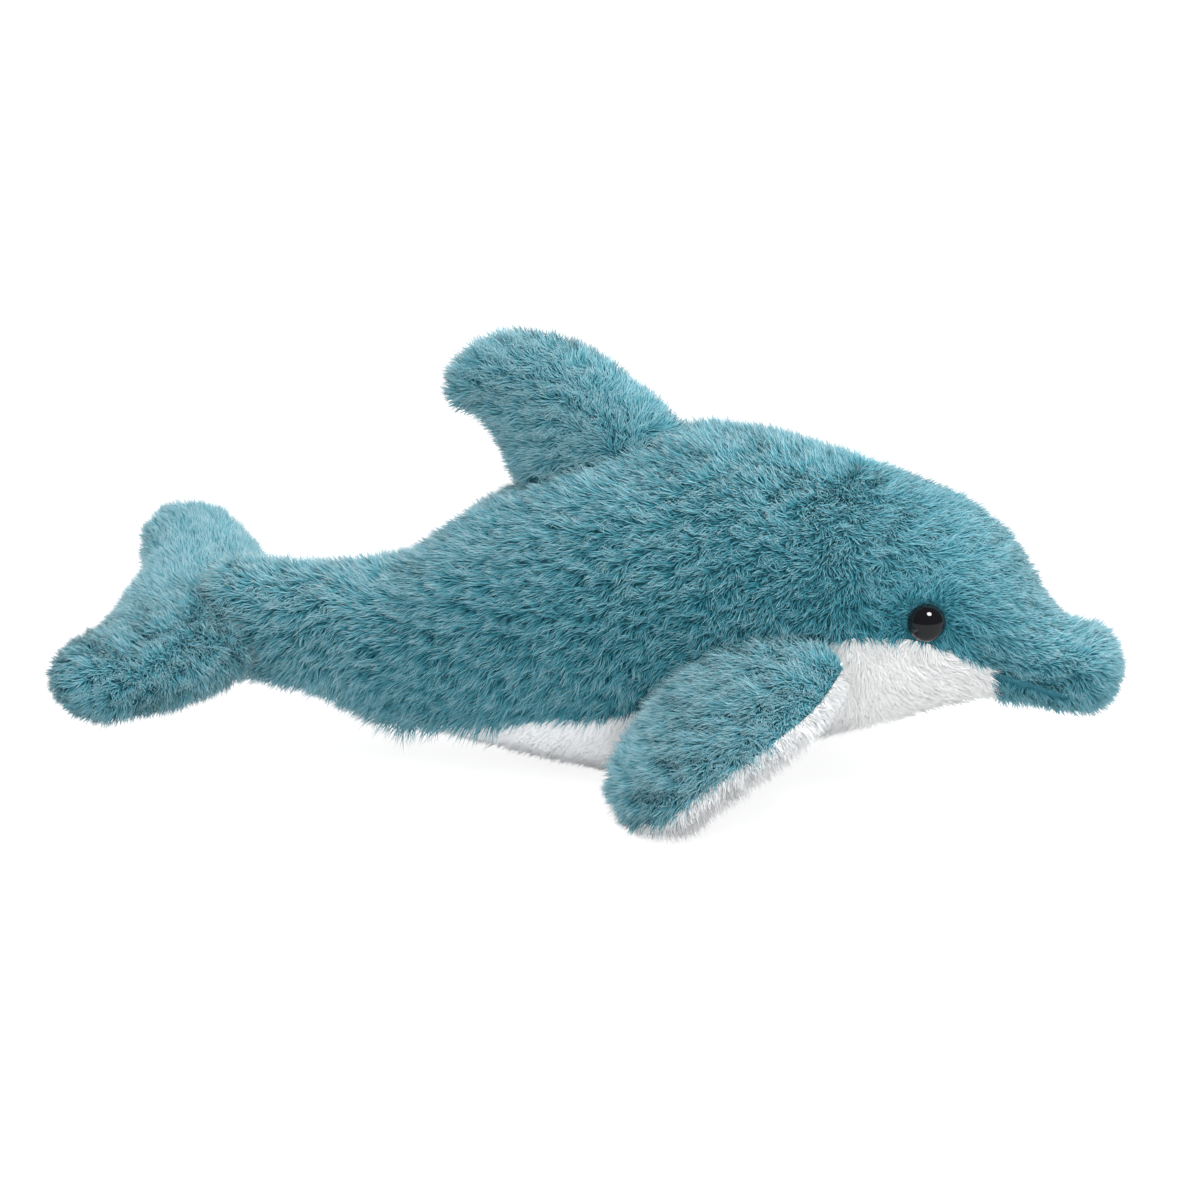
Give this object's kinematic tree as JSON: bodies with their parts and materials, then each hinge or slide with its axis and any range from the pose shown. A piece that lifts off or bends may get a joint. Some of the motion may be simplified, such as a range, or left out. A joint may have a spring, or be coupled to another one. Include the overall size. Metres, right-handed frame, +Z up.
{
  "type": "plush dolphin",
  "caption": "Long-pile plush dolphin with a teal back, white belly, curved dorsal fin, flippers, tail fluke and glossy black button eyes, lying on its belly.",
  "frame": {"origin": "middle of the bounding box, on the floor that the toy lies on", "axes": "+X from the tail to the beak, +Y to the toy's left, +Z up"},
  "size_m": [0.336, 0.1758, 0.139],
  "materials": {
    "teal_pile": "long teal pile, brushed towards the tail",
    "white_pile": "shorter white pile",
    "filling": "loose polyester filling",
    "eye_gloss": "polished black dome",
    "washer_plastic": "as moulded"
  },
  "bodies": {
    "root": {"belly_panel": "white_pile", "body_stuffing": "filling", "eye_left": "eye_gloss", "eye_right": "eye_gloss", "eye_washer_left": "washer_plastic", "eye_washer_right": "washer_plastic", "fin_panel_left": "teal_pile", "fin_panel_right": "teal_pile", "fin_stuffing": "filling", "flipper_left_stuffing": "filling", "flipper_left_top": "teal_pile", "flipper_left_under": "white_pile", "flipper_right_stuffing": "filling", "flipper_right_top": "teal_pile", "flipper_right_under": "white_pile", "fluke_panel_top": "teal_pile", "fluke_panel_under": "teal_pile", "fluke_stuffing": "filling", "lower_jaw_panel": "teal_pile", "side_panel_left": "teal_pile", "side_panel_right": "teal_pile"}
  },
  "joints": []
}
